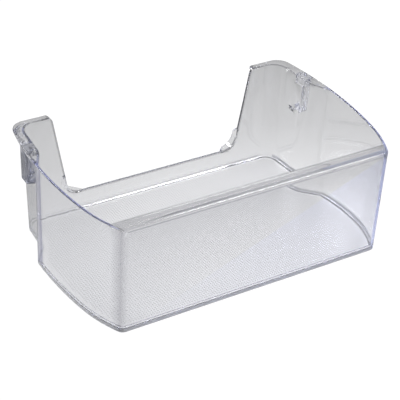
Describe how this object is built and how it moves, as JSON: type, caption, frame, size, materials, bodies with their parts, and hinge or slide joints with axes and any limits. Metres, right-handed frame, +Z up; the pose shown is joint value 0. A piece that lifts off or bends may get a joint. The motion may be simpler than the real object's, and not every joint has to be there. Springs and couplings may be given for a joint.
{
  "type": "fridge door shelf",
  "caption": "Clear moulded door shelf with bowed ends, a rounded front lip, a low back wall between corner tabs and a peg at each end.",
  "frame": {"origin": "middle of the box round the shelf, at the underside of the floor", "axes": "+X along the front to the viewer's right, +Y from the front to the door behind, +Z up"},
  "size_m": [0.3194, 0.1994, 0.11],
  "materials": {
    "clear_plastic": "clear, smooth and glossy"
  },
  "bodies": {
    "root": {"door_shelf": "clear_plastic"}
  },
  "joints": []
}
